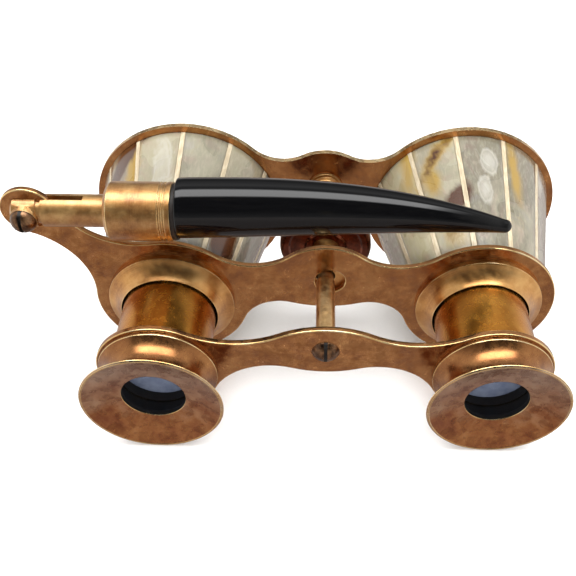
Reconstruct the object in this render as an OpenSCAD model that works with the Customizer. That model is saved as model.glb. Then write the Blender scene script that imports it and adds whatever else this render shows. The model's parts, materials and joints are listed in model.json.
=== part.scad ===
// Opera glasses: two tapered barrels faced with pearl slips, three bridge plates,
// a focus wheel that draws the eyepieces in and out, and a horn handle that folds over the top.
// X is to the right of the person who looks through them, Y is forwards, Z is up.
// The origin is on the front face of the front plate, midway between the optical axes.

/* [Bridge plates] */
// Distance between the two optical axes
eye_spacing = 63; // [60:0.5:66]
// Thickness of the three plates
plate_t = 1.2; // [1:0.1:1.5]
// Diameter of the round ends of the front plate
front_hub_d = 43.6; // [43:0.2:46]
// Diameter of the round ends of the middle plate
middle_hub_d = 31.2; // [30:0.2:33]
// Diameter of the round ends of the rear plate
rear_hub_d = 23.4; // [23:0.2:26]
// Distance from the front face to the middle plate's front side
middle_setback = 30.9; // [30:0.1:33]
// Distance from the front face to the rear plate's front side, focused for far
rear_setback = 49.25; // [48:0.05:51]

/* [Barrels] */
// Diameter over the pearl at the front plate
barrel_front_d = 40.8; // [40:0.2:41.6]
// Diameter over the pearl at the middle plate
barrel_rear_d = 27.6; // [27:0.2:29]
// Thickness of the pearl
pearl_t = 1.2; // [1:0.1:1.3]
// Number of pearl panels round each barrel
panel_count = 12; // [10:1:14]
// Width of the thin strips between the panels
strip_w = 1.0; // [0.6:0.1:1.6]
// Angle of the first strip from the top on the left barrel
left_strip_angle = 1; // [-15:1:15]
// Angle of the first strip from the top on the right barrel
right_strip_angle = -10; // [-15:1:15]

/* [Eyepieces] */
// Outer diameter of the draw tubes
tube_d = 18.6; // [18:0.1:18.8]
// Diameter of the eyecup rims
rim_d = 26.2; // [25.6:0.2:28]
// Diameter of the holes that the eye looks through
sight_d = 11.8; // [10:0.2:13]
// Distance from the rear plate's rear side to the eyecup rims
eyecup_len = 8.25; // [8:0.05:9]
// Diameter of the collar flanges on the middle plate
collar_d = 25.6; // [25:0.2:27]

/* [Focusing] */
// Height of the focus axis over the optical axes
focus_z = 6.2; // [5.6:0.1:7]
// Diameter of the focus wheel
wheel_d = 19.2; // [17:0.2:19.6]
// Width of the focus wheel
wheel_w = 8; // [6:0.5:8.5]
// Diameter of the focus rod
rod_d = 3.7; // [3.4:0.1:3.8]

/* [Handle] */
// Distance of the hinge to the left of the middle
hinge_x = 55.4; // [54:0.1:57]
// Height of the hinge over the optical axes
hinge_z = 23.2; // [22.8:0.1:24]
// Diameter of the slotted handle rod
fork_d = 6.1; // [5.6:0.1:6.4]
// Diameter of the brass ferrule
ferrule_d = 11; // [10.6:0.1:11.4]
// Diameter of the horn at its root
horn_root_d = 11.2; // [10.8:0.1:11.6]
// Diameter of the horn at its tip
horn_tip_d = 2.6; // [1.8:0.1:3.4]
// Length of the horn
horn_len = 62; // [50:0.5:66]

/* [Hidden] */
$fn = 96;

brass = "#a5743f";
gold_brass = "#c08a45";
dark_brass = "#5f3320";
pearl = "#c9c8bd";
ivory = "#e6dcc0";
horn = "#151518";
glass = "#8aa0b4";

// Places of the optical axes
left = -eye_spacing / 2;
right = eye_spacing / 2;

// Stations along Y
middle_y = -middle_setback;
rear_y = -rear_setback;
middle_mid_y = middle_y - plate_t / 2;
rear_back_y = rear_y - plate_t;
rim_y = rear_back_y - eyecup_len;

// Barrels: the brass shell lies under the pearl with a thin film of cement between
cement = 0.03;
shell_t = 0.8;
shell_front_r = barrel_front_d / 2 - pearl_t - cement;
shell_rear_r = barrel_rear_d / 2 - pearl_t - cement;
pearl_gap = 0.04;
spigot_r = 18.4;
cell_r = 17.6;
lens_seat_y = -5.5;
lens_edge_y = -3.9;
ledge_r = 16.4;
ledge_t = 0.8;
mouth_r = 16.2;
mouth_len = 2.05;
relief_r = 16.6;
ring_recess = 0.3;
lens_bulge = 1.4;
ring_gap = 0.25;
screw_gap = 0.05;

// Eyepieces
tube_r = tube_d / 2;
tube_bore_r = tube_r - 0.6;
tube_front_y = -24;
tube_back_y = rear_back_y - 2.05;
shoulder_r = 7.8;
eye_lens_r = 8.6;
eye_ring_r = 6.9;
eye_ring_len = 1.9;
eye_lens_t = 2;
eye_lens_mid_t = 1;
cavity_r = 7.2;
eyecup_foot_r = 11.2;
sight_wall = 1.2;
dish_depth = 2.1;
foot_t = 0.7;
waist_back = 4.4;
cup_cove_r = 5.1;
cup_cove_from = 136;
flare_r = 3.35;
flare_inset = 0.15;
rim_bevel = 0.25;
rim_edge = 0.5;
face_slope = [[0.7, 0.2], [3, 1.05]];
hole_slope = [[2, 0.35], [0.3, 0]];
hole_bevel = 0.1;
sleeve_gap = 0.06;
sleeve_r = tube_r + 0.9;
sleeve_front_y = -22;
collar_lip_r = 9.8;
collar_lip_len = 4.1;
collar_flange_t = 1.1;
collar_cove_r = 4.9;
cove_from = 115;
cove_to = 160;
lip_edge = 0.1;
lip_bevel = 0.8;

// Focusing
travel = 9.5;
thread_r = 1.6;
nut_r = thread_r + 0.03;
shank_front_y = middle_y - plate_t - 0.5;
rod_front_y = -16.8;
wheel_back_y = -22.7;
wheel_edge_r = 1.1;
spindle_r = 2.9;
spindle_back_y = middle_y + 0.1;
spindle_front_y = -3.3;
thrust_r = 4.4;
thrust_t = 1;
shank_bore_r = rod_d / 2 + 0.08;
pilot_r = nut_r - 0.05;
pilot_back_y = -6.6;
boss_r = 3.1;
boss_foot_r = 3.8;
boss_foot_t = 0.8;
boss_screw_r = 1;
boss_head_r = 2;
boss_screw_len = 4.8;
rod_hole_r = 3.05;
rod_hole_dx = 0.9;
rod_hole_dz = 0.2;
rear_screw_r = 1.1;
rear_screw_len = 6;
rear_head_r = 2.6;
rear_head_h = 1.5;

// Hinge and handle
lobe_r = 5.1;
pivot_r = 1.2;
pivot_gap = 0.05;
slot_gap = 0.05;
slot_reach = 10.7;
knuckle_back = 2.5;
knuckle_r = 2.5;
knuckle_front = 2.1;
groove_w = 1;
groove_r = 2.5;
ferrule_x = 15;
ferrule_len = 12.1;
ferrule_r = ferrule_d / 2;
washer_t = 0.8;
washer_r = 5.2;
horn_x = ferrule_x + ferrule_len + washer_t;
horn_lift = 0.94;
horn_rise = 1.75;
horn_droop = 5.15;
horn_taper = 2.25;
horn_steps = 7;
stud_r = 1.9;
stud_len = 6;
tang_r = 1.5;
tang_back = 5;
tang_len = 24;
hinge_head_r = 2.4;
hinge_head_h = 2;
knuckle_half = 3.2;
slot_w = 0.6;
far = 30;

// Edges of the plates, each [reach, bump radius, fillet radius]
front_top = [15.3, 11, 9.5];
front_bottom = [2, 25.8, 2.5];
middle_top = [14.9, 11.5, 12.2];
middle_bottom = [1.4, 24.3, 8];
rear_top = [12, 19, 18];
rear_bottom = [-0.2, 20.7, 12];
arm_fillet_r = 15;

// Points of an arc round [x, y] from angle a0 to a1, one every 4 degrees or so.
// skip leaves that many points out at each end.
function arc(x, y, r, a0, a1, skip = 0) =
    let (n = ceil(abs(a1 - a0) / 4))
    [for (i = [skip : n - skip]) [x + r * cos(a0 + (a1 - a0) * i / n), y + r * sin(a0 + (a1 - a0) * i / n)]];

function angle_to(a, b) = atan2(b[1] - a[1], b[0] - a[0]);

// Centre of a circle of radius r that touches the circles a and b, each [x, y, radius].
// It lies to the left of the line from a to b.
function touching(a, b, r) =
    let (ra = a[2] + r, rb = b[2] + r, dx = b[0] - a[0], dy = b[1] - a[1],
         d = sqrt(dx * dx + dy * dy), u = (ra * ra - rb * rb + d * d) / (2 * d), h = sqrt(ra * ra - u * u))
    [a[0] + (u * dx - h * dy) / d, a[1] + (u * dy + h * dx) / d];

// Lays a profile of [radius, y] round an axis along Y
module turned(x = 0, z = 0) {
    translate([x, 0, z]) rotate([-90, 0, 0]) rotate_extrude() children();
}

// A plain cylinder along Y from y0 to y1
module bar_y(r, y0, y1, x = 0, z = 0) {
    translate([x, y0, z]) rotate([-90, 0, 0]) cylinder(r = r, h = y1 - y0);
}

// A plain cylinder along X from x0 to x1, measured from the hinge
module bar_x(r, x0, x1, r2 = undef) {
    translate([x0 - hinge_x, middle_mid_y, hinge_z])
        rotate([0, 90, 0]) cylinder(r1 = r, r2 = is_undef(r2) ? r : r2, h = x1 - x0);
}

// ---- Bridge plates ----

// The wavy edge of a plate from its right hub to its left one: a bump in the middle that runs by
// fillets into the hubs. edge is [reach, bump radius, fillet radius].
function web_corner(hub_r, edge) =
    touching([0, edge[0] - edge[1], edge[1]], [eye_spacing / 2, 0, hub_r], edge[2]);
function hub_angle(hub_r, edge) = angle_to([eye_spacing / 2, 0], web_corner(hub_r, edge));
function web_edge(hub_r, edge) =
    let (c = web_corner(hub_r, edge), b = angle_to([0, edge[0] - edge[1]], c), h = hub_angle(hub_r, edge))
    concat(
        [c + edge[2] * [cos(h + 180), sin(h + 180)]],
        arc(c[0], c[1], edge[2], h + 180, b + 180, 1),
        arc(0, edge[0] - edge[1], edge[1], b, 180 - b),
        arc(-c[0], c[1], edge[2], -b, -h, 1),
        [[-c[0], c[1]] + edge[2] * [cos(-h), sin(-h)]]
    );

// The edge turned upside down, from the left hub to the right one
function web_underside(hub_r, edge) =
    let (points = web_edge(hub_r, edge))
    [for (i = [len(points) - 1 : -1 : 0]) [points[i][0], -points[i][1]]];

// The left hub's edge, plain or with an arm that ends in a round lobe
function left_end(hub_r, from, to) = arc(-eye_spacing / 2, 0, hub_r, from, to, 1);
function left_end_with_arm(hub_r, from, to) =
    let (hub = [-eye_spacing / 2, 0, hub_r], lobe = [-hinge_x, hinge_z, lobe_r],
         over = touching(lobe, hub, arm_fillet_r), under = touching(hub, lobe, arm_fillet_r),
         over_hub = angle_to(hub, over), over_lobe = angle_to(lobe, over),
         under_hub = angle_to(hub, under), under_lobe = angle_to(lobe, under))
    concat(
        arc(hub[0], hub[1], hub_r, from, over_hub, 1),
        arc(over[0], over[1], arm_fillet_r, over_hub + 180, over_lobe + 180),
        arc(lobe[0], lobe[1], lobe_r, over_lobe, under_lobe + 360, 1),
        arc(under[0], under[1], arm_fillet_r, under_lobe + 180, under_hub - 180),
        arc(hub[0], hub[1], hub_r, under_hub, to, 1)
    );

// A plate of two round hubs joined by a web, from y back. top and bottom are its edges.
module bridge(y, hub_r, top, bottom, arm = false) {
    from = 180 - hub_angle(hub_r, top);
    to = 180 + hub_angle(hub_r, bottom);
    translate([0, y, 0]) rotate([90, 0, 0]) linear_extrude(plate_t) polygon(concat(
        web_edge(hub_r, top),
        arm ? left_end_with_arm(hub_r, from, to) : left_end(hub_r, from, to),
        web_underside(hub_r, bottom),
        arc(eye_spacing / 2, 0, hub_r, 180 - to, 180 - from, 1)
    ));
}

// Holes of radius r through both hubs of the plate whose front is at y
module hub_holes(y, r) {
    for (x = [left, right]) bar_y(r, y - plate_t - 1, y + 1, x);
}

module front_bridge_plate() {
    color(brass) difference() {
        bridge(0, front_hub_d / 2, front_top, front_bottom);
        hub_holes(0, spigot_r);
        bar_y(boss_screw_r, -plate_t - 1, 1, z = focus_z);
        countersink(boss_head_r + screw_gap);
    }
}

module middle_bridge_plate() {
    color(brass) difference() {
        bridge(middle_y, middle_hub_d / 2, middle_top, middle_bottom, arm = true);
        hub_holes(middle_y, sleeve_r);
        bar_y(pivot_r + pivot_gap, middle_y - plate_t - 1, middle_y + 1, -hinge_x, hinge_z);
        bar_y(rod_hole_r, middle_y - plate_t - 1, middle_y + 1, rod_hole_dx, focus_z - rod_hole_dz);
    }
}

module rear_bridge_plate() {
    color(brass) difference() {
        bridge(rear_y, rear_hub_d / 2, rear_top, rear_bottom);
        hub_holes(rear_y, tube_r);
        bar_y(rear_screw_r, rear_back_y - 1, rear_y + 1, z = focus_z);
    }
}

// ---- Barrels ----

// Radius of a barrel's brass shell at y
function shell_r(y) =
    shell_rear_r + (shell_front_r - shell_rear_r) * (y - middle_y) / (-plate_t - middle_y);

module barrel_shell(x) {
    ledge_y = lens_seat_y - ledge_t;
    color(dark_brass) turned(x) polygon([
        [shell_rear_r, middle_y], [shell_front_r, -plate_t], [spigot_r, -plate_t], [spigot_r, 0],
        [cell_r, 0], [cell_r, lens_seat_y], [ledge_r, lens_seat_y], [ledge_r, ledge_y],
        [shell_r(ledge_y) - shell_t, ledge_y], [shell_rear_r - shell_t, middle_y],
    ]);
}

// The pearl covering before it is cut into panels
module pearl_cone(x) {
    back_y = middle_y + screw_gap;
    front_y = -plate_t - screw_gap;
    turned(x) polygon([
        [barrel_rear_d / 2, back_y], [barrel_front_d / 2, front_y],
        [barrel_front_d / 2 - pearl_t, front_y], [barrel_rear_d / 2 - pearl_t, back_y],
    ]);
}

// Radial slabs at the places of the strips
module strip_slabs(x, first_angle, width) {
    for (i = [0 : panel_count - 1])
        translate([x, middle_y, 0]) rotate([0, first_angle + i * 360 / panel_count, 0])
            translate([-width / 2, 0, shell_rear_r / 2]) cube([width, middle_setback, barrel_front_d / 2]);
}

module pearl_panels(x, first_angle) {
    color(pearl) difference() {
        pearl_cone(x);
        strip_slabs(x, first_angle, strip_w + pearl_gap);
    }
}

module pearl_strips(x, first_angle) {
    color(ivory) intersection() {
        pearl_cone(x);
        strip_slabs(x, first_angle, strip_w);
    }
}

// Flat behind, bulging in front
module objective_lens(x) {
    lens_r = cell_r - 0.1;
    ball_r = (lens_r * lens_r + lens_bulge * lens_bulge) / (2 * lens_bulge);
    turn = asin(lens_r / ball_r);
    color(glass) turned(x) polygon(concat(
        [[0, lens_seat_y], [lens_r, lens_seat_y]],
        arc(0, lens_edge_y + lens_bulge - ball_r, ball_r, 90 - turn, 90)
    ));
}

// Holds the lens in. A cap pushes into its mouth, and the relief behind leaves room for the lens.
module objective_ring(x) {
    color(dark_brass) difference() {
        bar_y(cell_r - screw_gap, lens_edge_y + ring_gap, -ring_recess, x);
        bar_y(mouth_r, lens_seat_y, 1, x);
        bar_y(relief_r, lens_seat_y, -ring_recess - mouth_len, x);
    }
}

// ---- Eyepieces ----

// A flange on the plate, coved in to a lip, on the end of the sleeve that the draw tube slides in
module collar(x) {
    bore_r = tube_r + sleeve_gap;
    seat_y = middle_y - plate_t;
    lip_y = seat_y - collar_lip_len;
    cove_x = collar_lip_r - collar_cove_r * cos(cove_to);
    cove_y = lip_y - collar_cove_r * sin(cove_to);
    color(gold_brass) turned(x) polygon(concat(
        [[bore_r, sleeve_front_y], [sleeve_r, sleeve_front_y], [sleeve_r, seat_y], [collar_d / 2, seat_y]],
        [[collar_d / 2, seat_y - collar_flange_t]],
        arc(cove_x, cove_y, collar_cove_r, cove_from, cove_to),
        [[collar_lip_r - lip_edge, lip_y], [bore_r, lip_y + lip_bevel]]
    ));
}

module draw_tube(x) {
    shoulder_y = tube_back_y + eye_ring_len + eye_lens_t;
    color(gold_brass) turned(x) polygon([
        [tube_r, tube_back_y], [tube_r, tube_front_y], [tube_bore_r, tube_front_y],
        [tube_bore_r, shoulder_y + 0.8], [shoulder_r, shoulder_y + 0.8], [shoulder_r, shoulder_y],
        [tube_bore_r, shoulder_y], [tube_bore_r, tube_back_y],
    ]);
}

// A foot coved in to a waist that flares out to a thin rim, with a dished face behind,
// black inside down to the lens
module eyecup(x) {
    sight_r = sight_d / 2;
    rim_r = rim_d / 2;
    face_y = rim_y + dish_depth;
    wall_y = face_y + sight_wall;
    waist_y = rear_back_y - waist_back;
    flare_x = rim_r - flare_inset;
    color(brass) turned(x) polygon(concat(
        [[tube_r, rear_back_y], [eyecup_foot_r, rear_back_y], [eyecup_foot_r, rear_back_y - foot_t]],
        arc(flare_x - flare_r + cup_cove_r, waist_y, cup_cove_r, cup_cove_from, 176),
        arc(flare_x, waist_y, flare_r, 180, 268),
        [[rim_r, waist_y - flare_r - 0.1], [rim_r, rim_y + rim_bevel]],
        [[rim_r - rim_bevel, rim_y], [rim_r - rim_edge, rim_y]],
        [for (p = face_slope) [rim_r - p[0], rim_y + p[1]]],
        [for (p = hole_slope) [sight_r + p[0], face_y - p[1]]],
        [[sight_r, face_y + hole_bevel], [sight_r, wall_y], [cavity_r, wall_y]],
        [[cavity_r, tube_back_y], [tube_r, tube_back_y]]
    ));
}

// Hollowed towards the eye, flat in front
module eye_lens(x) {
    back_y = tube_back_y + eye_ring_len;
    hollow = eye_lens_t - eye_lens_mid_t;
    hollow_r = eye_lens_r - 1.2;
    ball_r = (hollow_r * hollow_r + hollow * hollow) / (2 * hollow);
    turn = asin(hollow_r / ball_r);
    color(glass) turned(x) polygon(concat(
        [[eye_lens_r, back_y], [eye_lens_r, back_y + eye_lens_t], [0, back_y + eye_lens_t]],
        arc(0, back_y + hollow - ball_r, ball_r, 90, 90 - turn)
    ));
}

module eye_lens_ring(x) {
    color(dark_brass) difference() {
        bar_y(tube_bore_r - screw_gap, tube_back_y, tube_back_y + eye_ring_len, x);
        bar_y(eye_ring_r, tube_back_y - 1, rear_y, x);
    }
}

// ---- Focusing ----

// A slotted round head that bulges backwards from seat_y
module round_head(r, h, seat_y, x, z) {
    ball_r = (r * r + h * h) / (2 * h);
    difference() {
        intersection() {
            bar_y(r, seat_y - h, seat_y, x, z);
            translate([x, seat_y - h + ball_r, z]) sphere(ball_r);
        }
        translate([x - slot_w / 2, seat_y - h - 1, z - r - 1]) cube([slot_w, 1 + h / 2, 2 * r + 2]);
    }
}

module focus_rod() {
    color(gold_brass) difference() {
        union() {
            bar_y(rod_d / 2, rear_y, shank_front_y, z = focus_z);
            bar_y(thread_r, shank_front_y - 1, rod_front_y, z = focus_z);
        }
        bar_y(rear_screw_r, rear_y - 1, rear_y + rear_screw_len, z = focus_z);
    }
}

module rear_bridge_screw() {
    color(dark_brass) {
        round_head(rear_head_r, rear_head_h, rear_back_y, 0, focus_z);
        bar_y(rear_screw_r, rear_back_y - 0.2, rear_y + rear_screw_len - 0.3, z = focus_z);
    }
}

module focus_wheel() {
    r = wheel_d / 2;
    e = wheel_edge_r;
    front_y = wheel_back_y + wheel_w;
    color(dark_brass) turned(0, focus_z) polygon(concat(
        [[spindle_r, wheel_back_y], [spindle_r + 1.2, wheel_back_y], [spindle_r + 1.6, wheel_back_y + 0.5]],
        [[r - 2.2, wheel_back_y + 0.5], [r - 1.8, wheel_back_y]],
        arc(r - e, wheel_back_y + e, e, -90, 0),
        arc(r - e, front_y - e, e, 0, 90),
        [[r - 1.8, front_y], [r - 2.2, front_y - 0.5], [spindle_r + 1.6, front_y - 0.5]],
        [[spindle_r + 1.2, front_y], [spindle_r, front_y]]
    ));
}

// A tube that bears on the middle plate behind and turns on the boss in front,
// with the thread for the rod inside the wheel
module wheel_spindle() {
    color(gold_brass) difference() {
        union() {
            bar_y(thrust_r, spindle_back_y, spindle_back_y + thrust_t, z = focus_z);
            bar_y(spindle_r, spindle_back_y, spindle_front_y, z = focus_z);
        }
        bar_y(shank_bore_r, spindle_back_y - 1, wheel_back_y, z = focus_z);
        bar_y(nut_r, spindle_back_y - 1, spindle_front_y + 1, z = focus_z);
    }
}

module spindle_boss() {
    color(gold_brass) difference() {
        union() {
            bar_y(boss_foot_r, -plate_t - boss_foot_t, -plate_t, z = focus_z);
            bar_y(boss_r, spindle_front_y + 0.1, -plate_t, z = focus_z);
            bar_y(pilot_r, pilot_back_y, -plate_t, z = focus_z);
        }
        bar_y(boss_screw_r, -boss_screw_len - 0.2, 0, z = focus_z);
    }
}

// The cone of a countersunk head in the front plate, of radius r at the face
module countersink(r) {
    translate([0, -boss_head_r / 2, focus_z]) rotate([-90, 0, 0])
        cylinder(r1 = r - boss_head_r / 2, r2 = r, h = boss_head_r / 2);
}

module boss_screw() {
    color(dark_brass) difference() {
        union() {
            countersink(boss_head_r);
            bar_y(boss_screw_r, -boss_screw_len, 0, z = focus_z);
        }
        translate([-slot_w / 2, -0.5, focus_z - boss_head_r - 1]) cube([slot_w, 1, 2 * boss_head_r + 2]);
    }
}

// ---- Hinge and handle ----

module hinge_screw() {
    seat_y = middle_mid_y - knuckle_half;
    color(dark_brass) {
        round_head(hinge_head_r, hinge_head_h, seat_y, -hinge_x, hinge_z);
        bar_y(pivot_r, seat_y - 0.2, middle_mid_y + knuckle_half, -hinge_x, hinge_z);
    }
}

// A rod with a slotted end whose two tongues take the lobe, and a stud at the other end
module handle_rod() {
    r = fork_d / 2;
    slot = plate_t + 2 * slot_gap;
    color(gold_brass) difference() {
        union() {
            bar_x(r - 0.5, -knuckle_back, -knuckle_back + 0.5, r);
            bar_x(r, -knuckle_back + 0.5, knuckle_front);
            bar_x(groove_r, knuckle_front - 1, knuckle_front + groove_w + 1);
            bar_x(r, knuckle_front + groove_w, ferrule_x);
            bar_x(stud_r, ferrule_x - 1, ferrule_x + stud_len);
            bar_y(knuckle_r, middle_mid_y - knuckle_half, middle_mid_y + knuckle_half, -hinge_x, hinge_z);
        }
        translate([-hinge_x - far, middle_mid_y - slot / 2, hinge_z - far])
            cube([far + slot_reach, slot, 2 * far]);
        bar_y(pivot_r + pivot_gap, middle_mid_y - far, middle_mid_y, -hinge_x, hinge_z);
        bar_y(pivot_r, middle_mid_y - 1, middle_mid_y + far, -hinge_x, hinge_z);
    }
}

module handle_ferrule() {
    end_x = ferrule_x + ferrule_len;
    color(gold_brass) difference() {
        union() {
            bar_x(ferrule_r - 0.7, ferrule_x, ferrule_x + 0.7, ferrule_r);
            bar_x(ferrule_r, ferrule_x + 0.7, end_x - 2.2);
            bar_x(ferrule_r - 0.2, end_x - 2.3, end_x - 1);
            bar_x(ferrule_r, end_x - 1.8, end_x - 1.4);
            bar_x(ferrule_r, end_x - 1, end_x);
        }
        bar_x(stud_r, ferrule_x - 1, ferrule_x + stud_len);
        bar_x(tang_r, end_x - tang_back, end_x + 1);
    }
}

module handle_tang() {
    end_x = ferrule_x + ferrule_len;
    color("silver") bar_x(tang_r, end_x - tang_back, end_x - tang_back + tang_len);
}

module horn_washer() {
    end_x = ferrule_x + ferrule_len;
    color(dark_brass) difference() {
        bar_x(washer_r, end_x, horn_x);
        bar_x(tang_r, end_x - 1, horn_x + 1);
    }
}

// Height of the horn's middle line and its radius, t of the way from root to tip
function horn_z(t) = hinge_z + horn_lift + horn_rise * t - horn_droop * pow(t, 3);
function horn_r(t) = (horn_root_d - (horn_root_d - horn_tip_d) * pow(t, horn_taper)) / 2;

module horn_disc(t) {
    translate([horn_x - hinge_x + t * (horn_len - horn_tip_d / 2), middle_mid_y, horn_z(t)])
        if (t < 1) rotate([0, 90, 0]) cylinder(r = horn_r(t), h = 0.01, $fn = 32);
        else sphere(horn_tip_d / 2, $fn = 32);
}

module horn_handle() {
    color(horn) difference() {
        for (i = [0 : horn_steps - 1])
            hull() {
                horn_disc(i / horn_steps);
                horn_disc((i + 1) / horn_steps);
            }
        bar_x(tang_r, horn_x - 1, horn_x + tang_len - tang_back - washer_t);
    }
}

// ---- The left and right nodes ----

module barrel_shell_left() { barrel_shell(left); }
module barrel_shell_right() { barrel_shell(right); }
module pearl_panels_left() { pearl_panels(left, left_strip_angle); }
module pearl_panels_right() { pearl_panels(right, right_strip_angle); }
module pearl_strips_left() { pearl_strips(left, left_strip_angle); }
module pearl_strips_right() { pearl_strips(right, right_strip_angle); }
module objective_lens_left() { objective_lens(left); }
module objective_lens_right() { objective_lens(right); }
module objective_ring_left() { objective_ring(left); }
module objective_ring_right() { objective_ring(right); }
module collar_left() { collar(left); }
module collar_right() { collar(right); }
module draw_tube_left() { draw_tube(left); }
module draw_tube_right() { draw_tube(right); }
module eyecup_left() { eyecup(left); }
module eyecup_right() { eyecup(right); }
module eye_lens_left() { eye_lens(left); }
module eye_lens_right() { eye_lens(right); }
module eye_lens_ring_left() { eye_lens_ring(left); }
module eye_lens_ring_right() { eye_lens_ring(right); }

front_bridge_plate();
middle_bridge_plate();
rear_bridge_plate();
barrel_shell_left();
barrel_shell_right();
pearl_panels_left();
pearl_panels_right();
pearl_strips_left();
pearl_strips_right();
objective_lens_left();
objective_lens_right();
objective_ring_left();
objective_ring_right();
collar_left();
collar_right();
draw_tube_left();
draw_tube_right();
eyecup_left();
eyecup_right();
eye_lens_left();
eye_lens_right();
eye_lens_ring_left();
eye_lens_ring_right();
focus_rod();
rear_bridge_screw();
focus_wheel();
wheel_spindle();
spindle_boss();
boss_screw();
hinge_screw();
handle_rod();
handle_ferrule();
handle_tang();
horn_washer();
horn_handle();
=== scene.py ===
"""Opera glasses: brass bridges and eyepieces, pearl-faced barrels and a horn handle folded over the top.

Metres, in the part's own frame: X to the user's right, Y out of the objectives, Z up.
Sizes written as a number times MM are the part's own sizes in millimetres.
"""

import json
import math

import bmesh
import bpy
from mathutils import Matrix, Vector


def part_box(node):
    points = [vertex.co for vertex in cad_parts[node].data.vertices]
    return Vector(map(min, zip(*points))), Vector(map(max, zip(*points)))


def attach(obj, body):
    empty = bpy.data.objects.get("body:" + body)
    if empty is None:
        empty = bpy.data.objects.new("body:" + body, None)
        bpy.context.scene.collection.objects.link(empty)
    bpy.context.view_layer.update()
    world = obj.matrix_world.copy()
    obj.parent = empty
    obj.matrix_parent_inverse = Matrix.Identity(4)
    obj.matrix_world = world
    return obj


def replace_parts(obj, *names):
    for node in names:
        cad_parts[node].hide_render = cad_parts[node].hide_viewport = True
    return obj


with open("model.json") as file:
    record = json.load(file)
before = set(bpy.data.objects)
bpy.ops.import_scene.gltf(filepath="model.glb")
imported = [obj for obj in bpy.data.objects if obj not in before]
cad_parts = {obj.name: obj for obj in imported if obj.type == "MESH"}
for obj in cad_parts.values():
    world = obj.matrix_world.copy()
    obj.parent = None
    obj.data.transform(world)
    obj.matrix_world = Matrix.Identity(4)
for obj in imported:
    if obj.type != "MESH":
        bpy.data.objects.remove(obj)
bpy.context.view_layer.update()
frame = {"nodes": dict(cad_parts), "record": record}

MM = 0.001
NODES = frame["nodes"]
RECORD = frame["record"]
BODY_OF = {node: body for body, members in RECORD["behaviour"]["bodies"].items() for node in members}

# Places on the part that the new pieces follow: the optical axes, the rod's axis and the handle's hinge
EYE_X = 31.5 * MM
SIDES = {"left": -EYE_X, "right": EYE_X}
FOCUS_Z = 6.2 * MM
HINGE = Vector((-55.4, -31.5, 23.2)) * MM

# Where a finish changes: half a screw slot's width, the radius inside which an eyecup is black, and the
# place along Y, give or take a margin, where its dished face ends
SLOT_HALF = 0.34 * MM
EYECUP_BORE_R = 9.4 * MM
EYECUP_FACE_Y = -56.5 * MM
FACE_MARGIN = 0.3 * MM

# Refining the CAD shapes: how close doubled vertices are, how flat a flat face is, how sharp an edge is
# before it is rounded, the faces across a rounded edge, and its size on the bridge plates in mm
WELD = 0.001 * MM
FLAT_ANGLE = math.radians(0.4)
SHARP_ANGLE = math.radians(40)
EDGE_SEGMENTS = 2
PLATE_EDGE = 0.2

# Pearl slips, in mm and in degrees clockwise from the top of each barrel, seen from behind: the angle of
# one slip, the first strip, the slips' thickness, rear radius and rounded edge, the strips' half width,
# and the steps along and across a slip
PANEL_ANGLE = 30.0
FIRST_STRIP = {"left": 1.0, "right": -10.0}
PEARL_T = 1.2
PEARL_REAR_R = 13.8
PEARL_EDGE = 0.12
STRIP_HALF = 0.52
PEARL_ROWS = 20
PEARL_COLUMNS = 12

# The shell's colours: its overall shade, its clouds, yellow veins and brown stains, and each slip's tint
PEARL_SHADE = "#c1bcb4"
PEARL_CLOUD = "#bab7ad"
PEARL_YELLOW = "#9c7c2a"
PEARL_BROWN = "#46260f"
PEARL_TINTS = {
    "left": (
        "#aeada0", "#bcb8a6", "#aaa9a3", "#b5b2a4", "#a9aaa6", "#bdb9aa",
        "#b2b0a4", "#a8a8a2", "#b9b4a6", "#b0aca4", "#a09484", "#d2cebb",
    ),
    "right": (
        "#9c9a90", "#908c7e", "#aaa5a2", "#a5aab2", "#b4b1a6", "#aaa9a2",
        "#b8b5a7", "#a7a8a4", "#b1ada1", "#bab7a8", "#d3cfb4", "#c9c7b7",
    ),
}
# Marks in the shell: angle, place along Y, half angle, half length, lean, (yellow, brown, cloud)
PEARL_MARKS = {
    "left": (
        (-43, -5, 9, 6, 2.2, (0.3, 1.5, 0)),
        (-33, -9, 5, 6, 0.3, (1.25, 0.1, 0)),
        (-38, -1, 9, 2.2, 0, (0.2, 1.0, 0)),
        (-24, -1, 7, 1.2, 0, (0, 0.6, 0)),
        (-58, -16, 6, 5, 0, (0.8, 0.5, 0)),
        (-10, -12, 9, 14, 0, (0, 0, 0.6)),
        (46, -25, 13, 7, 0, (0.4, 1.3, 0)),
        (168, -12, 12, 9, 0.8, (0.9, 0.3, 0)),
        (215, -20, 10, 7, -0.6, (0.2, 0.8, 0)),
        (120, -8, 14, 6, 0.4, (0, 0, 0.9)),
    ),
    "right": (
        (-24, -5, 5, 7, 2.4, (1.2, 0.72, 0)),
        (-30, -11, 7, 4, 0, (0.85, 0.15, 0)),
        (-15, -17.5, 9, 3.2, 1.6, (0.2, 1.3, 0)),
        (-44, -4, 6, 9, 0.5, (0.85, 0.1, 0)),
        (-22, -26, 12, 5, 0, (0.55, 0.4, 0)),
        (27, -9, 4.5, 8, -0.3, (1.0, 0.1, 0)),
        (9, -8, 6, 3.6, 0, (0, 0, 1.0)),
        (4, -16, 5, 4, 0, (0, 0, 1.0)),
        (55, -6, 12, 6, 0, (0, 0, 0.4)),
        (140, -10, 12, 10, -1.0, (0.9, 0.5, 0)),
        (200, -18, 14, 8, 0.6, (0.3, 0.9, 0)),
        (250, -9, 11, 6, 0, (0, 0, 0.9)),
    ),
}

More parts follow.
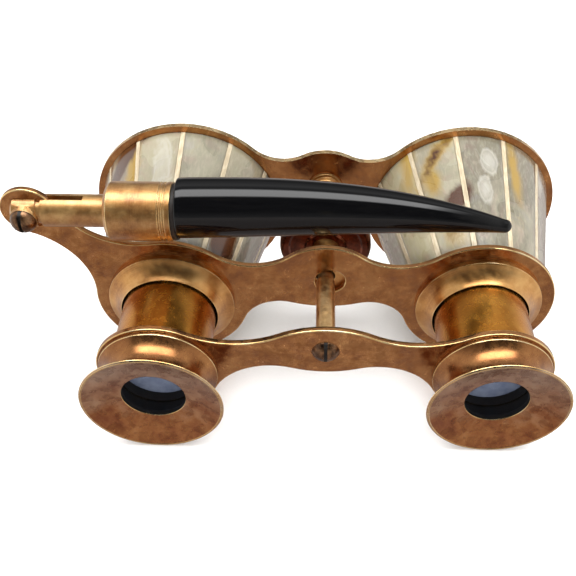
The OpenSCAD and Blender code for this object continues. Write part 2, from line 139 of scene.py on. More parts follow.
# The horn, in mm: its place from the hinge, length, radii, height over the hinge, bow and taper, the
# root's rounded edge, the steps and sides of its surface, and the tang's hole
HORN_X = 27.9
HORN_LEN = 62.0
HORN_ROOT_R = 5.6
HORN_TIP_R = 1.3
HORN_LIFT = 0.94
HORN_RISE = 1.75
HORN_DROOP = 5.15
HORN_TAPER = 2.25
HORN_EDGE = 0.35
HORN_STEPS = 40
HORN_SIDES = 64
TIP_STEPS = 6
TANG_R = 1.5
TANG_DEPTH = 18.2

# The light tent: its greys from the horizon behind the eyepieces over the top to the one in front, its
# sides and where they begin, and its dim lower half from the horizon down
TENT_ARCH = (
    (0.0, 0.34), (0.05, 0.24), (0.13, 0.07), (0.41, 0.07), (0.66, 0.3), (0.73, 0.7), (0.8, 0.4),
    (0.9, 0.12), (1.0, 0.14),
)
TENT_SIDES = (0.88, 0.87, 0.85, 1)
TENT_SIDES_FROM = ((0.58, 0.0), (0.8, 1.0))
TENT_FLOOR = ((0.0, "#dcd4cf"), (0.35, "#c0b6b2"), (0.85, "#aca09c"))

# The tent's softbox: how much brighter it is, and its reach over the top and to the sides
SOFTBOX = 5.6
SOFTBOX_SPAN = ((0.43, 0.0), (0.465, 1.0), (0.6, 1.0), (0.64, 0.0))
SOFTBOX_WIDTH = ((0.5, 1.0), (0.66, 0.0))

# The two lights: place, target and size in metres, and watts
KEY_LIGHT = ((0, -0.1, 0.9), (0, 0, 0), (0.8, 0.8), 4)
FILL_LIGHT = ((0, -0.7, 0.3), (0, 0, -0.02), (1.2, 0.4), 7)

# The floor, in metres: half its width, its near and far ends, its gap under the part, and the bend in
# which it falls away at its near end; and the backdrop's radius
FLOOR_HALF = 1.2
FLOOR_NEAR = -0.16
FLOOR_FAR = 1.2
FLOOR_GAP = 0.02 * MM
FLOOR_BEND_R = 0.25
FLOOR_BEND_STEPS = 24
BACKDROP_R = 2.5

# Camera at the photograph's viewing angle
CAMERA_AZIMUTH = math.radians(0.515)
CAMERA_ELEVATION = math.radians(45.22)
CAMERA_ROLL = math.radians(0.41)
CAMERA_DISTANCE = 235.28 * MM
CAMERA_TARGET = Vector((-3.62, 31.18, -57.69)) * MM
CAMERA_LENS = 45.2
CAMERA_SENSOR = 36
CAMERA_SHIFT = (-0.0388, -0.0122)
CAMERA_CLIP_START = 0.01


# ---- Shader helpers ----


def srgb(code):
    """A hex colour such as #c08a45 as linear RGBA."""
    channels = [int(code[i : i + 2], 16) / 255 for i in (1, 3, 5)]
    return [c / 12.92 if c <= 0.04045 else ((c + 0.055) / 1.055) ** 2.4 for c in channels] + [1.0]


class Nodes:
    """Short ways to add nodes to one tree. A value is a number, a tuple or another node's output."""

    def __init__(self, tree):
        self.tree = tree

    def add(self, kind, inputs=(), **settings):
        node = self.tree.nodes.new(kind)
        for name, value in settings.items():
            setattr(node, name, value)
        for name, value in dict(inputs).items():
            if isinstance(value, bpy.types.NodeSocket):
                self.tree.links.new(value, node.inputs[name])
            else:
                node.inputs[name].default_value = value
        return node

    def math(self, operation, a, b=0.0):
        return self.add("ShaderNodeMath", {0: a, 1: b}, operation=operation).outputs[0]

    def millimetres(self):
        """The piece's own coordinates, in millimetres."""
        place = self.add("ShaderNodeTexCoord").outputs["Object"]
        inputs = {0: place, "Scale": 1 / MM}
        return self.add("ShaderNodeVectorMath", inputs, operation="SCALE").outputs[0]

    def split(self, vector):
        return self.add("ShaderNodeSeparateXYZ", {0: vector}).outputs

    def join(self, x, y, z):
        return self.add("ShaderNodeCombineXYZ", {0: x, 1: y, 2: z}).outputs[0]

    def stretch(self, vector, factors):
        return self.add("ShaderNodeVectorMath", {0: vector, 1: factors}, operation="MULTIPLY").outputs[0]

    def noise(self, vector, size, detail=3.0, roughness=0.5, distortion=0.0):
        """Noise from 0 to 1 whose blotches are about size across, in the vector's units."""
        inputs = {
            "Vector": vector,
            "Scale": 1 / size,
            "Detail": detail,
            "Roughness": roughness,
            "Distortion": distortion,
        }
        return self.add("ShaderNodeTexNoise", inputs).outputs[0]

    def ramp(self, value, stops):
        """A linear colour ramp through stops, each (position, hex colour or grey level)."""
        ramp = self.add("ShaderNodeValToRGB", {0: value})
        elements = ramp.color_ramp.elements
        while len(elements) < len(stops):
            elements.new(0.5)
        for element, (position, colour) in zip(elements, stops):
            element.position = position
            element.color = srgb(colour) if isinstance(colour, str) else (colour, colour, colour, 1)
        return ramp.outputs[0]

    def mix(self, factor, a, b, blend="MIX"):
        """Colour a mixed with b, each a hex colour, a tuple or another node's output."""
        node = self.add("ShaderNodeMix", data_type="RGBA", blend_type=blend)
        for socket, value in ((node.inputs[0], factor), (node.inputs[6], a), (node.inputs[7], b)):
            if isinstance(value, bpy.types.NodeSocket):
                self.tree.links.new(value, socket)
            else:
                socket.default_value = srgb(value) if isinstance(value, str) else value
        return node.outputs[2]

    def attribute(self, name):
        return self.add("ShaderNodeAttribute", attribute_name=name).outputs

    def bump(self, height, depth):
        """Relief of height 0 to 1 over depth millimetres."""
        inputs = {"Height": height, "Distance": depth * MM, "Strength": 1.0}
        return self.add("ShaderNodeBump", inputs).outputs[0]


def new_material(name):
    """A material with only its output, and the Nodes to fill it."""
    material = bpy.data.materials.new(name)
    material.use_nodes = True
    material.node_tree.nodes.clear()
    return material, Nodes(material.node_tree)


def finish_material(nodes, inputs):
    """Adds the Principled shader with these inputs, and the output."""
    shader = nodes.add("ShaderNodeBsdfPrincipled", inputs)
    nodes.add("ShaderNodeOutputMaterial", {"Surface": shader.outputs[0]})


# ---- Materials ----

# On brass: how fast the upper tone spreads upwards, per millimetre, the depth of its relief in
# millimetres, the share of it that lathe lines have, and the fine scratches' slants and strengths
UPPER_TONE_SLOPE = 0.035
BRASS_RELIEF = 0.004
LATHE_LINES = 0.5
SCRATCHES = ((0.5, 0.35), (-0.9, 0.25))


def turned_coordinates(n, along):
    """(distance from the turning axis, place along it, angle) in millimetres, for lathe marks."""
    x, y, z = n.split(n.millimetres())[:3]
    length, across = (x, y) if along == "X" else (y, x)
    squares = n.math("ADD", n.math("MULTIPLY", across, across), n.math("MULTIPLY", z, z))
    radius = n.math("SQRT", squares)
    return n.join(radius, length, n.math("ARCTAN2", z, across))


def brass(
    name, tones, stain=0.4, rough=(0.16, 0.3), coat=0.3, turned=None, pits=0.25, blotch=5.5, hazy=0.2,
    upper_tone=None,
):
    """Old brass: patina in soft blotches, stains, fine scratches and, on turned parts, lathe lines.

    tones are (light, middle, dark), stain the strength of the stains, rough the lowest and highest
    roughness, turned the axis that it was turned round, pits the share of the relief that pitting has,
    blotch the size of the blotches in mm, hazy how much the metal is dulled, and upper_tone a colour
    that covers more of the piece, in patches, the higher it lies.
    """
    light, middle, dark = tones
    material, n = new_material(name)
    place = n.millimetres()
    blotches = n.noise(place, blotch, 6, 0.7)
    colour = n.ramp(blotches, [(0.34, dark), (0.5, middle), (0.66, light)])
    stains = n.ramp(n.noise(place, 1.3, 6, 0.75), [(0.52, 0.0), (0.68, 1.0)])
    colour = n.mix(n.math("MULTIPLY", stains, stain), colour, dark)
    for slant, strength in SCRATCHES:
        turned_by = {"Vector": place, "Axis": (0, 1, 0), "Angle": slant}
        slanted = n.add("ShaderNodeVectorRotate", turned_by).outputs[0]
        streaks = n.noise(n.stretch(slanted, (1.0, 0.6, 0.05)), 0.16, 2, 0.5)
        scratches = n.ramp(streaks, [(0.64, 0.0), (0.7, 1.0)])
        colour = n.mix(n.math("MULTIPLY", scratches, strength), colour, light)
    # Mixes in the upper tone, more the higher the place lies, broken up in patches
    if upper_tone:
        upwards = n.math("ADD", n.math("MULTIPLY", n.split(place)[2], UPPER_TONE_SLOPE), 0.5)
        cover = n.math("ADD", upwards, n.math("SUBTRACT", n.noise(place, 4.0, 5, 0.6), 0.5))
        colour = n.mix(n.ramp(cover, [(0.3, 0.0), (0.9, 0.85)]), colour, upper_tone)
    haze = n.ramp(n.noise(place, 2.2, 6, 0.65, 0.5), [(0.42, 0.0), (0.68, 1.0)])
    height = n.math("MULTIPLY", n.noise(place, 0.45, 4, 0.6), pits)
    if turned:
        rings = n.noise(n.stretch(turned_coordinates(n, turned), (1.0, 1.0, 0.12)), 0.16, 3, 0.7)
        height = n.math("ADD", height, n.math("MULTIPLY", rings, LATHE_LINES))
        colour = n.mix(n.ramp(rings, [(0.5, 0.0), (0.75, 0.35)]), colour, light)
    finish_material(
        n,
        {
            "Base Color": colour,
            "Metallic": n.ramp(haze, [(0.0, 1.0), (1.0, 1.0 - hazy)]) if hazy else 1.0,
            "Roughness": n.ramp(haze, [(0.0, rough[0]), (1.0, rough[1])]),
            "Normal": n.bump(height, BRASS_RELIEF),
            "Coat Weight": coat,
            "Coat Roughness": 0.24,
        },
    )
    return material


def black_coat_and_slot_shade():
    """The dull black that the insides and lens rings are coated with, also painted into screw slots as
    their shade.
    """
    material, n = new_material("blackened_brass_and_slot_shade")
    place = n.millimetres()
    grime = n.noise(place, 1.4, 4, 0.6)
    finish_material(
        n,
        {
            "Base Color": n.ramp(grime, [(0.3, "#0b0a09"), (0.7, "#1d1813")]),
            "Roughness": n.ramp(grime, [(0.3, 0.45), (0.7, 0.65)]),
            "Normal": n.bump(n.noise(place, 0.25, 3), 0.01),
        },
    )
    return material


def pearl():
    """Polished shell. Attributes on the slips say their tint and where it is yellow, brown or cloudy."""
    material, n = new_material("mother_of_pearl")
    place = n.millimetres()
    tint = n.attribute("tint")["Color"]
    drift = n.stretch(tint, (90.0, 70.0, 110.0))
    flow = n.add("ShaderNodeVectorMath", {0: place, 1: drift}, operation="ADD").outputs[0]
    along = n.stretch(flow, (1.0, 0.5, 1.0))
    marks = n.split(n.attribute("marks")["Vector"])
    breakup = n.math("SUBTRACT", n.noise(along, 3.4, 6, 0.6, 0.9), 0.5)
    clouds = n.math("ADD", marks[2], breakup)
    cloud = n.ramp(clouds, [(0.3, 0.0), (0.5, 0.75), (0.6, 0.45), (0.9, 0.8)])
    yellow = n.ramp(n.math("ADD", marks[0], breakup), [(0.12, 0.0), (0.75, 1.0)])
    brown = n.ramp(n.math("ADD", marks[1], breakup), [(0.25, 0.0), (0.7, 1.0)])
    soft = n.noise(along, 6.5, 3, 0.45, 0.9)
    colour = n.mix(n.ramp(soft, [(0.3, 0.5), (0.55, 0.0)]), tint, "#a5a094")
    colour = n.mix(n.ramp(soft, [(0.5, 0.0), (0.75, 0.55)]), colour, "#e2dfd0")
    layers = n.noise(n.stretch(flow, (1.0, 0.18, 1.0)), 0.55, 3, 0.6, 0.6)
    colour = n.mix(n.ramp(layers, [(0.45, 0.0), (0.75, 0.35)]), colour, "#f1ede0")
    hue = n.ramp(
        n.noise(along, 6.5, 2, 0.5, 2.5),
        [(0.3, "#f6e6e2"), (0.45, "#f6f2ea"), (0.6, "#f0f1e4"), (0.75, "#eae9ee")],
    )
    colour = n.mix(0.8, colour, hue, "MULTIPLY")
    colour = n.mix(1.0, colour, PEARL_SHADE, "MULTIPLY")
    colour = n.mix(n.math("MULTIPLY", cloud, 0.7), colour, PEARL_CLOUD)
    colour = n.mix(n.math("MULTIPLY", yellow, 0.85), colour, PEARL_YELLOW)
    colour = n.mix(brown, colour, PEARL_BROWN)
    finish_material(
        n,
        {
            "Base Color": colour,
            "Roughness": n.ramp(soft, [(0.3, 0.2), (0.7, 0.34)]),
            "Normal": n.bump(layers, 0.0015),
            "Coat Weight": 0.8,
            "Coat Roughness": 0.06,
        },
    )
    return material


def cream_shell():
    """The cream slips between the pearl ones, with a faint grain along them."""
    material, n = new_material("cream_shell")
    grain = n.noise(n.stretch(n.millimetres(), (1.0, 0.05, 1.0)), 0.5, 3, 0.5)
    finish_material(
        n,
        {
            "Base Color": n.ramp(grain, [(0.3, "#a8967a"), (0.55, "#c4b598"), (0.75, "#d2c7af")]),
            "Roughness": n.ramp(grain, [(0.3, 0.3), (0.7, 0.2)]),
            "Normal": n.bump(grain, 0.002),
            "Coat Weight": 0.3,
            "Coat Roughness": 0.1,
        },
    )
    return material


def polished_horn():
    """Black horn, with a faint fibre grain along it and hairline scratches."""
    material, n = new_material("polished_horn")
    place = n.millimetres()
    fibres = n.noise(n.stretch(place, (0.06, 1.0, 1.0)), 0.5, 4, 0.6)
    streaks = n.noise(n.stretch(place, (0.12, 1.0, 1.0)), 0.22, 3, 0.6)
    hairlines = n.ramp(streaks, [(0.55, 0.0), (0.8, 1.0)])
    finish_material(
        n,
        {
            "Base Color": n.ramp(fibres, [(0.3, "#030304"), (0.6, "#060607"), (0.8, "#0e0c09")]),
            "Roughness": n.ramp(hairlines, [(0.0, 0.07), (1.0, 0.16)]),
            "IOR": 1.42,
            "Normal": n.bump(fibres, 0.002),
        },
    )
    return material


def lens_glass(name, clear, tint, cloudy):
    """Old glass: clear is how much light goes through, tint and cloudy are its haze's two colours."""
    material, n = new_material(name)
    haze = n.noise(n.millimetres(), 2.0, 4, 0.6)
    finish_material(
        n,
        {
            "Base Color": n.ramp(haze, [(0.3, tint), (0.7, cloudy)]),
            "Roughness": n.ramp(haze, [(0.4, 0.0), (0.8, 0.06)]),
            "Transmission Weight": clear,
            "IOR": 1.6,
            "Coat Weight": 0.6,
            "Coat Roughness": 0.03,
        },
    )
    return material


def plain_surface(name, low, high, rough, metallic=0.0):
    """A small hidden part's finish: a fine grain between two colours."""
    material, n = new_material(name)
    grain = n.noise(n.millimetres(), 0.4, 4, 0.6)
    finish_material(
        n,
        {
            "Base Color": n.ramp(grain, [(0.3, low), (0.7, high)]),
            "Metallic": metallic,
            "Roughness": n.ramp(grain, [(0.3, rough), (0.7, rough + 0.15)]),
            "Normal": n.bump(grain, 0.01),
        },
    )
    return material


BRIDGE = brass("bridge_brass", ("#c8925a", "#b37a46", "#9a6640"), stain=0.3, rough=(0.16, 0.28))
# Rounded edges: brass rubbed bright by wear, and painted paler still as a highlight where edges catch
# the light
EDGE = brass(
    "worn_edge_and_highlight_brass", ("#fff0c4", "#ffdc98", "#e6b46c"),
    stain=0.05, rough=(0.2, 0.3), coat=0.8, hazy=0.0,
)
# A paler copy of the bridge brass for the front plate's outer walls: a painted highlight where the rim
# reflects the light
RIM_PAINTED_HIGHLIGHT = brass(
    "plate_rim_painted_highlight_brass", ("#f2d8a8", "#e0bc84", "#be9260"),
    stain=0.2, rough=(0.24, 0.34), coat=0.8,
)
TURNED = brass(
    "turned_brass", ("#ecba74", "#d69a54", "#ae7440"),
    turned="Y", stain=0.1, rough=(0.3, 0.4), coat=0.6, blotch=9.0, hazy=0.1,
)
TUBE = brass(
    "tube_brass", ("#d8963a", "#c67f28", "#ac6a20"),
    turned="Y", stain=0.0, rough=(0.24, 0.3), blotch=12.0, hazy=0.05,
)
ROD = brass(
    "rod_brass", ("#f4d098", "#e4b87c", "#c49258"),
    turned="Y", stain=0.1, rough=(0.3, 0.38), coat=0.8,
)
EYECUP = brass(
    "eyecup_brass", ("#b07a48", "#99643a", "#784828"),
    turned="Y", stain=0.2, rough=(0.24, 0.34), coat=0.2, hazy=0.1,
)
# The dished face turns paler and greyer towards its top, in patches
EYECUP_FACE = brass(
    "eyecup_face_brass", ("#b87e4a", "#a4683a", "#864a28"),
    turned="Y", stain=0.2, rough=(0.26, 0.36), coat=0.4, upper_tone="#b49a84", blotch=4.0,
)
WHEEL = brass(
    "wheel_brass", ("#8a4729", "#64301c", "#3f1c10"),
    turned="Y", stain=0.3, rough=(0.12, 0.24),
)
SCREW = brass(
    "screw_brass", ("#9c7450", "#6c4c32", "#382418"),
    stain=0.7, rough=(0.26, 0.42), pits=5.0, blotch=1.6,
)
HANDLE = brass(
    "handle_brass", ("#dcb070", "#c08c50", "#9a6636"),
    turned="X", stain=0.15, rough=(0.42, 0.5), coat=1.0, hazy=0.1,
)
BARREL = brass("barrel_brass", ("#9a6e3e", "#785230", "#50341c"), turned="Y", stain=0.4)
BLACK = black_coat_and_slot_shade()
PEARL = pearl()
CREAM = cream_shell()
HORN = polished_horn()
GLASS = lens_glass("objective_glass", 1.0, "#dfe6f2", "#f4f7fb")
EYE_GLASS = lens_glass("eye_lens_glass", 0.3, "#69728a", "#868ea2")
WASHER = plain_surface("washer_fibre", "#0d0b0a", "#231c18", 0.5)
STEEL = plain_surface("tang_steel", "#6d6d6f", "#9a9a9c", 0.3, metallic=1.0)
FLOOR = plain_surface("studio_floor", "#f9f9f8", "#fcfcfb", 0.75)


# ---- Pieces ----


def piece(name, bm, materials, origin, node, crease=35):
    """Makes an object of bm in place of a CAD node, with sharp edges where it bends more than crease."""
    bm.transform(Matrix.Translation(-origin))
    bm.normal_update()
    mesh = bpy.data.meshes.new(name)
    bm.to_mesh(mesh)
    bm.free()
    for material in materials:
        mesh.materials.append(material)
    mesh.shade_smooth()
    mesh.set_sharp_from_angle(angle=math.radians(crease))
    obj = bpy.data.objects.new(name, mesh)
    obj.location = origin
    bpy.context.scene.collection.objects.link(obj)
    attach(obj, BODY_OF[node])
    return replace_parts(obj, node)


def welded(node):
    """A CAD node's shape, with its doubled vertices joined and its flat faces whole."""
    bm = bmesh.new()
    bm.from_mesh(NODES[node].data)
    bmesh.ops.remove_doubles(bm, verts=bm.verts, dist=WELD)
    bmesh.ops.dissolve_limit(bm, angle_limit=FLAT_ANGLE, verts=bm.verts, edges=bm.edges)
    return bm


def sharp_edges(bm):
    return [e for e in bm.edges if len(e.link_faces) == 2 and e.calc_face_angle(0) > SHARP_ANGLE]


def borders_on(face, index):
    """True for a face that shares an edge with one of the material with this index."""
    return any(other.material_index == index for e in face.edges for other in e.link_faces)


def refine(node, materials, origin, edge, special=()):
    """A CAD node's shape, its sharp edges rounded and bright with wear and painted highlight; edge is
    the rounding in mm.

    materials are its finish, its rounded edges' finish, bright with wear and painted highlight, and one
    more for each test in special, which takes a face's centre, measured from the origin, and its normal.
    An edge of the first special finish takes that finish, except on the dished face of an eyecup.
    """
    bm = welded(node)
    for face in bm.faces:
        face.material_index = 0
        for index, test in enumerate(special):
            if test(face.calc_center_median() - origin, face.normal):
                face.material_index = index + 2
    bmesh.ops.bevel(
        bm, geom=sharp_edges(bm), offset=edge * MM, segments=EDGE_SEGMENTS, profile=0.5,
        affect="EDGES", clamp_overlap=True, material=1,
    )
    # Rounded edges, painted bright as wear and highlight, that border a black inside turn black too,
    # away from an eyecup's dished face
    bright_edges = [f for f in bm.faces if f.material_index == 1]
    bright_edges = [f for f in bright_edges if f.calc_center_median().y > EYECUP_FACE_Y + FACE_MARGIN]
    for face in [f for f in bright_edges if borders_on(f, 2)]:
        face.material_index = 2
    obj = piece(node + "_detail", bm, materials, origin, node)
    weighted = obj.modifiers.new("even_normals", "WEIGHTED_NORMAL")
    weighted.keep_sharp = True


def axis_point(side):
    return Vector((SIDES[side], 0, 0))


def pearl_marks(side, angle, y):
    """How yellow, brown and cloudy the shell is at an angle from the top, in degrees, and y in mm."""
    found = [0.0, 0.0, 0.0]
    for centre, place, half_angle, half_length, lean, strengths in PEARL_MARKS[side]:
        turn = (angle - centre - lean * (y - place) + 180) % 360 - 180
        weight = math.exp(-((turn / half_angle) ** 2) - ((y - place) / half_length) ** 2)
        found = [max(old, weight * new) for old, new in zip(found, strengths)]
    return found


def pearl_panels(side):
    """The twelve curved slips of shell on a barrel, with rounded edges, and their tints and marks."""
    low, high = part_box("pearl_panels_" + side)
    back, front = low.y / MM, high.y / MM
    front_r = (high.z - low.z) / 2 / MM
    bm = bmesh.new()
    tint_layer = bm.verts.layers.float_color.new("tint")
    marks_layer = bm.verts.layers.float_vector.new("marks")
    rows = rounded_steps(front - back, PEARL_ROWS)
    for index, tint in enumerate(PEARL_TINTS[side]):
        centre = FIRST_STRIP[side] + PANEL_ANGLE * (index + 0.5)
        grid = {}
        for layer, (depth, rounding) in enumerate(((0.0, PEARL_EDGE), (PEARL_T, 0.0))):
            for j, along in enumerate(rows):
                y = back + along
                surface_r = PEARL_REAR_R + (front_r - PEARL_REAR_R) * along / (front - back)
                half = math.radians(PANEL_ANGLE / 2) - math.asin(STRIP_HALF / (surface_r - depth))
                columns = rounded_steps(2 * half * surface_r, PEARL_COLUMNS)
                for i, across in enumerate(columns):
                    on_edge = i in (0, len(columns) - 1) or j in (0, len(rows) - 1)
                    r = surface_r - depth - (rounding if on_edge else 0.0)
                    a = math.radians(centre) - half + across / surface_r
                    vert = bm.verts.new(Vector((r * math.sin(a), y, r * math.cos(a))) * MM)
                    vert[tint_layer] = srgb(tint)
                    vert[marks_layer] = pearl_marks(side, math.degrees(a), y)
                    grid[layer, j, i] = vert
        last_j, last_i = len(rows) - 1, len(columns) - 1
        for j in range(last_j):
            for i in range(last_i):
                for layer in (0, 1):
                    ring = [(j, i), (j, i + 1), (j + 1, i + 1), (j + 1, i)]
                    bm.faces.new([grid[layer, *c] for c in (ring if layer else reversed(ring))])
        border = [(0, i) for i in range(last_i)] + [(j, last_i) for j in range(last_j)]
        border += [(last_j, i) for i in range(last_i, 0, -1)] + [(j, 0) for j in range(last_j, 0, -1)]
        for a, b in zip(border, border[1:] + border[:1]):
            bm.faces.new([grid[0, *a], grid[0, *b], grid[1, *b], grid[1, *a]])
    bmesh.ops.recalc_face_normals(bm, faces=bm.faces)
    bm.transform(Matrix.Translation(axis_point(side)))
    piece("pearl_slips_" + side, bm, (PEARL,), axis_point(side), "pearl_panels_" + side, crease=60)


def rounded_steps(length, count):
    """Places from 0 to length, even apart from one close to each end, where the edge is rounded."""
    inner = [PEARL_EDGE + (length - 2 * PEARL_EDGE) * k / count for k in range(count + 1)]
    return [0.0, *inner, length]


def horn_line(t):
    """The horn's place along X from the hinge, height over it and radius, in mm, at t from 0 to 1."""
    x = HORN_X + t * (HORN_LEN - HORN_TIP_R)
    z = HORN_LIFT + HORN_RISE * t - HORN_DROOP * t**3
    return x, z, HORN_ROOT_R - (HORN_ROOT_R - HORN_TIP_R) * t**HORN_TAPER


def horn():
    """The horn: a smooth taper that bows to a round tip, with the tang's hole in its flat root."""
    x, lift, radius = horn_line(0.0)
    stations = [(x + TANG_DEPTH, 0.0, 0.0), (x + TANG_DEPTH, 0.0, TANG_R), (x, 0.0, TANG_R)]
    for back, inwards in ((0.0, 1.0), (0.3, 0.3), (1.0, 0.0)):
        stations.append((x + back * HORN_EDGE, lift, radius - inwards * HORN_EDGE))
    stations += [horn_line(step / HORN_STEPS) for step in range(1, HORN_STEPS + 1)]
    tip_x, tip_z, tip_r = stations[-1]
    for step in range(1, TIP_STEPS + 1):
        angle = math.radians(90 * step / TIP_STEPS)
        stations.append((tip_x + tip_r * math.sin(angle), tip_z, tip_r * math.cos(angle)))
    bm = bmesh.new()
    rings = []
    for x, z, r in stations:
        angles = [math.tau * k / HORN_SIDES for k in range(HORN_SIDES)] if r > WELD / MM else [0.0]
        ring = [Vector((x, r * math.sin(a), z + r * math.cos(a))) * MM for a in angles]
        rings.append([bm.verts.new(place) for place in ring])
    for one, two in zip(rings, rings[1:]):
        for k in range(HORN_SIDES):
            around = ((one, k), (one, k + 1), (two, k + 1), (two, k))
            corners = [ring[place % len(ring)] for ring, place in around]
            bm.faces.new(list(dict.fromkeys(corners)))
    bmesh.ops.recalc_face_normals(bm, faces=bm.faces)
    bm.transform(Matrix.Translation(HINGE))
    piece("polished_horn_handle", bm, (HORN,), HINGE, "horn_handle", crease=50)


def faces_axis(centre, normal):
    """True for a face of a turned part that looks towards its axis along Y."""
    return normal.x * centre.x + normal.z * centre.z < -0.3 * math.hypot(centre.x, centre.z)


def eyecup_inside(centre, normal):
    """True for the faces of an eyecup deeper than its sight hole's edge that don't look outwards."""
    radius = math.hypot(centre.x, centre.z)
    outward = (normal.x * centre.x + normal.z * centre.z) / radius
    return radius < EYECUP_BORE_R and centre.y > EYECUP_FACE_Y and outward < 0.3


def in_slot(centre, normal):
    """True for the faces of a screw's slot, which are painted black as shade."""
    return abs(centre.x) < SLOT_HALF


def eyecup_face(centre, normal):
    """True for the dished face of an eyecup."""
    return normal.y < -0.5 and centre.y < EYECUP_FACE_Y + FACE_MARGIN


def outline(centre, normal):
    """True for the narrow outer walls of a plate."""
    return abs(normal.y) < 0.5


focus_axis = Vector((0, 0, FOCUS_Z))
# The front plate's narrow outer walls take the paler brass, a painted highlight
refine("front_bridge_plate", (BRIDGE, EDGE, RIM_PAINTED_HIGHLIGHT), Vector(), PLATE_EDGE, special=[outline])
for node in ("middle_bridge_plate", "rear_bridge_plate"):
    refine(node, (BRIDGE, EDGE), Vector(), PLATE_EDGE)
for side in SIDES:
    axis = axis_point(side)
    refine("barrel_shell_" + side, (BARREL, EDGE, BLACK), axis, 0.05, special=[faces_axis])
    refine("objective_ring_" + side, (BLACK, BLACK), axis, 0.08)
    refine("collar_" + side, (TURNED, EDGE, BLACK), axis, 0.08, special=[faces_axis])
    refine("draw_tube_" + side, (TUBE, EDGE, BLACK), axis, 0.08, special=[faces_axis])
    eyecup_finishes = (EYECUP, EDGE, BLACK, EYECUP_FACE)
    refine("eyecup_" + side, eyecup_finishes, axis, 0.12, special=[eyecup_inside, eyecup_face])
    refine("eye_lens_ring_" + side, (BLACK, BLACK), axis, 0.06)
    refine("eye_lens_" + side, (EYE_GLASS, EYE_GLASS), axis, 0.04)
    refine("objective_lens_" + side, (GLASS, GLASS), axis, 0.05)
refine("focus_rod", (ROD, EDGE), focus_axis, 0.06)
refine("focus_wheel", (WHEEL, WHEEL), focus_axis, 0.08)
refine("wheel_spindle", (TURNED, EDGE), focus_axis, 0.08)
refine("spindle_boss", (TURNED, EDGE), focus_axis, 0.08)
# The screws' slots take the black finish: painted shade in the recess
for node in ("rear_bridge_screw", "boss_screw"):
    refine(node, (SCREW, SCREW, BLACK), focus_axis, 0.05, special=[in_slot])
refine("hinge_screw", (SCREW, SCREW, BLACK), HINGE, 0.05, special=[in_slot])
refine("handle_rod", (HANDLE, EDGE), HINGE, 0.08)
refine("handle_ferrule", (HANDLE, EDGE), HINGE, 0.07)
refine("handle_tang", (STEEL, STEEL), HINGE, 0.05)
refine("horn_washer", (WASHER, WASHER), HINGE, 0.05)
for side in SIDES:
    pearl_panels(side)
    refine("pearl_strips_" + side, (CREAM, CREAM), axis_point(side), 0.05)
horn()


# ---- Studio ----


def build_floor():
    """A pale sheet under the front plate and the eyecups' rims, which falls away behind the eyecups."""
    front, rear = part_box("front_bridge_plate")[0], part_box("eyecup_left")[0]
    slope = (rear.z - front.z) / (rear.y - front.y)
    lines = []
    for step in range(FLOOR_BEND_STEPS):
        angle = math.radians(90 * (1 - step / FLOOR_BEND_STEPS))
        drop = -FLOOR_BEND_R * (1 - math.cos(angle))
        lines.append((FLOOR_NEAR - FLOOR_BEND_R * math.sin(angle), drop))
    lines += [(FLOOR_NEAR, 0.0), (FLOOR_FAR, 0.0)]
    bm = bmesh.new()
    rows = []
    for y, drop in lines:
        z = front.z - FLOOR_GAP + slope * (max(y, FLOOR_NEAR) - front.y) + drop
        rows.append([bm.verts.new((x, y, z)) for x in (-FLOOR_HALF, FLOOR_HALF)])
    for a, b in zip(rows, rows[1:]):
        bm.faces.new((a[0], a[1], b[1], b[0]))
    bmesh.ops.recalc_face_normals(bm, faces=bm.faces)
    mesh = bpy.data.meshes.new("floor")
    bm.to_mesh(mesh)
    bm.free()
    mesh.shade_smooth()
    mesh.materials.append(FLOOR)
    floor = bpy.data.objects.new("floor", mesh)
    bpy.context.scene.collection.objects.link(floor)
    floor.visible_glossy = False


def area_light(name, place, target, size, power):
    """A rectangular light that reflections don't show."""
    data = bpy.data.lights.new(name, "AREA")
    data.shape = "RECTANGLE"
    data.size, data.size_y = size
    data.energy = power
    light = bpy.data.objects.new(name, data)
    light.location = place
    light.rotation_euler = (Vector(target) - Vector(place)).to_track_quat("-Z", "Y").to_euler()
    light.visible_glossy = False
    bpy.context.scene.collection.objects.link(light)


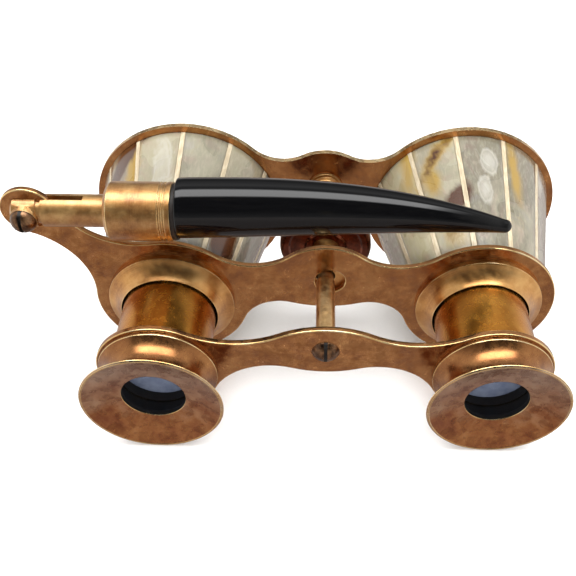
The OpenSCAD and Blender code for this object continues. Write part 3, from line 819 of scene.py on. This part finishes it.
def build_world():
    """A light tent: a bright softbox overhead, pale sides, dark gaps between them and a dim lower half.

    A direction is told by its turn over the top, from 0 at the horizon behind the eyepieces to 1 in
    front, and by how far it points to the side.
    """
    world = bpy.data.worlds.new("light_tent")
    world.use_nodes = True
    world.node_tree.nodes.clear()
    n = Nodes(world.node_tree)
    x, y, z = n.split(n.add("ShaderNodeTexCoord").outputs["Generated"])[:3]
    turn = n.math("DIVIDE", n.math("ARCTAN2", z, n.math("MULTIPLY", y, -1.0)), math.pi)
    below = n.ramp(n.math("MULTIPLY", z, -1.0), TENT_FLOOR)
    arch = n.mix(n.math("LESS_THAN", z, 0.0), n.ramp(turn, TENT_ARCH), below)
    aside = n.math("ABSOLUTE", x)
    colour = n.mix(n.ramp(aside, TENT_SIDES_FROM), arch, TENT_SIDES)
    softbox = n.math("MULTIPLY", n.ramp(turn, SOFTBOX_SPAN), n.ramp(aside, SOFTBOX_WIDTH))
    strength = n.math("ADD", n.math("MULTIPLY", softbox, SOFTBOX), 1.0)
    colour = n.mix(softbox, colour, (1, 1, 1, 1))
    background = n.add("ShaderNodeBackground", {"Color": colour, "Strength": strength})
    n.add("ShaderNodeOutputWorld", {"Surface": background.outputs[0]})
    bpy.context.scene.world = world


def build_backdrop():
    """A pale dome that only the camera sees, so that every view has a plain pale background."""
    material, n = new_material("backdrop")
    drift = n.noise(n.millimetres(), 900.0, 1)
    glow = n.add("ShaderNodeEmission", {"Color": n.ramp(drift, [(0.3, "#fcfcfb"), (0.7, "#fefefe")])})
    n.add("ShaderNodeOutputMaterial", {"Surface": glow.outputs[0]})
    bm = bmesh.new()
    bmesh.ops.create_icosphere(bm, subdivisions=4, radius=BACKDROP_R)
    mesh = bpy.data.meshes.new("backdrop")
    bm.to_mesh(mesh)
    bm.free()
    mesh.shade_smooth()
    mesh.materials.append(material)
    dome = bpy.data.objects.new("backdrop", mesh)
    bpy.context.scene.collection.objects.link(dome)
    for ray in ("diffuse", "glossy", "transmission", "volume_scatter", "shadow"):
        setattr(dome, "visible_" + ray, False)


def build_camera():
    """A camera that looks down from behind the eyepieces."""
    a, e, roll = CAMERA_AZIMUTH, CAMERA_ELEVATION, CAMERA_ROLL
    back = Vector((math.sin(a) * math.cos(e), -math.cos(a) * math.cos(e), math.sin(e)))
    level = Vector((0, 0, 1)).cross(back).normalized()
    upright = back.cross(level)
    right = level * math.cos(roll) + upright * math.sin(roll)
    up = upright * math.cos(roll) - level * math.sin(roll)
    data = bpy.data.cameras.new("camera")
    data.lens = CAMERA_LENS
    data.sensor_width = CAMERA_SENSOR
    data.shift_x, data.shift_y = CAMERA_SHIFT
    data.clip_start = CAMERA_CLIP_START
    camera = bpy.data.objects.new("camera", data)
    matrix = Matrix((right, up, back)).transposed().to_4x4()
    matrix.translation = CAMERA_TARGET + back * CAMERA_DISTANCE
    camera.matrix_world = matrix
    bpy.context.scene.collection.objects.link(camera)
    bpy.context.scene.camera = camera


build_floor()
build_world()
build_backdrop()
build_camera()
area_light("key", *KEY_LIGHT)
area_light("fill", *FILL_LIGHT)
bpy.context.scene.view_settings.view_transform = "Standard"
